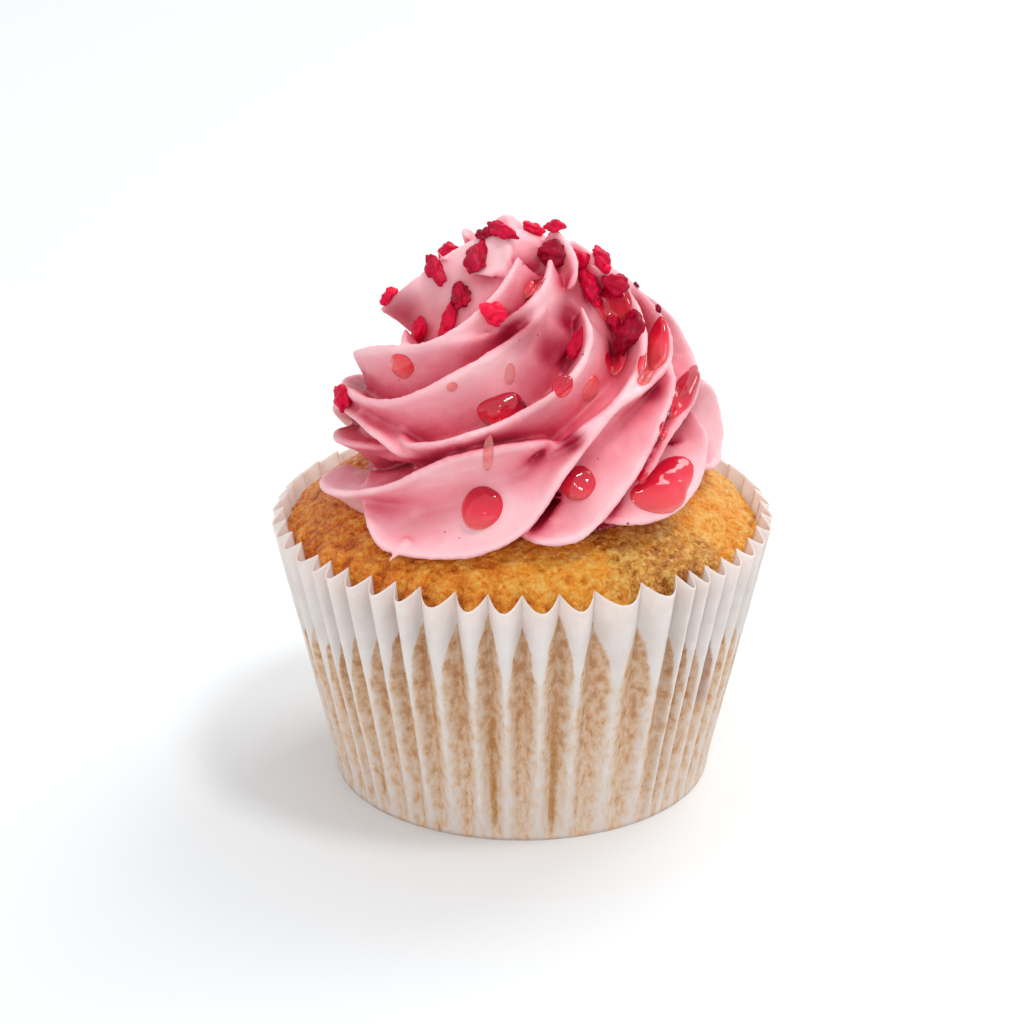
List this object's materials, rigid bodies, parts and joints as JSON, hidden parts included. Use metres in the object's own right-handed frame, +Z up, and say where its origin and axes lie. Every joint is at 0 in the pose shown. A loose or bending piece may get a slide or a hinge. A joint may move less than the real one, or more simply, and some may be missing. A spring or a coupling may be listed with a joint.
{
  "type": "cupcake",
  "caption": "Golden cupcake in a pleated white paper case, with a tall swirl of pink buttercream, pieces of dried red berry and drops of berry syrup.",
  "frame": {"origin": "middle of the paper case's floor, on the surface that the cupcake stands on", "axes": "+Z up through the middle of the case and the swirl; -Y is the front that the picture shows, +X is to its right"},
  "size_m": [0.066, 0.066, 0.0765],
  "materials": {
    "greaseproof_paper": "matt",
    "baked_sponge": "porous and slightly sticky",
    "pink_buttercream": "soft satin"
  },
  "bodies": {
    "root": {"paper_case": "greaseproof_paper", "sponge": "baked_sponge", "buttercream": "pink_buttercream"}
  },
  "joints": []
}
